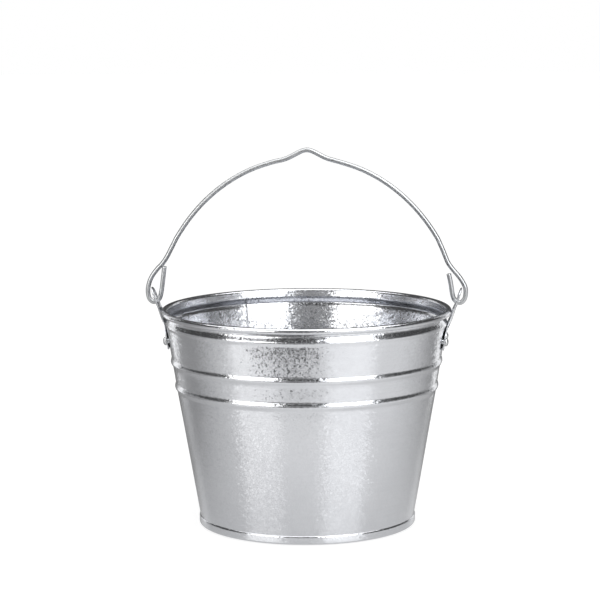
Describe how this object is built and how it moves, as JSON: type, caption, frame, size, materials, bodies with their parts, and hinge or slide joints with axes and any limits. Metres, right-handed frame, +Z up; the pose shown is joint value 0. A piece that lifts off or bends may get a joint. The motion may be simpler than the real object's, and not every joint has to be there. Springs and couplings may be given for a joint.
{
  "type": "florist bucket",
  "caption": "Tapered galvanised sheet-steel bucket with a wired rim, rolled beads, a seamed bottom, riveted ears and a swinging wire bail.",
  "frame": {"origin": "middle of the foot ring, on the surface the bucket stands on", "axes": "+Z up, X through the two ears, the bail standing in the XZ plane"},
  "size_m": [0.2589, 0.2328, 0.3023],
  "materials": {
    "galvanised_sheet": "hot-dip galvanised, satin, with a fine zinc spangle",
    "galvanised_pressing": "hot-dip galvanised, satin",
    "galvanised_wire": "galvanised drawn wire, semi-bright",
    "rivet_steel": "plated, semi-bright"
  },
  "bodies": {
    "pail": {"side_wall": "galvanised_sheet", "bottom_pan": "galvanised_sheet", "rim_wire": "galvanised_wire", "ear_right": "galvanised_pressing", "ear_left": "galvanised_pressing", "rivet_right_front": "rivet_steel", "rivet_right_rear": "rivet_steel", "rivet_left_front": "rivet_steel", "rivet_left_rear": "rivet_steel"},
    "bail": {"bail": "galvanised_wire"}
  },
  "joints": [
    {"name": "bail_swing", "type": "hinge", "parent": "pail", "child": "bail", "pos_m": [0, 0, 0.1795], "axis": [1, 0, 0], "range_deg": [-91, 91]}
  ]
}
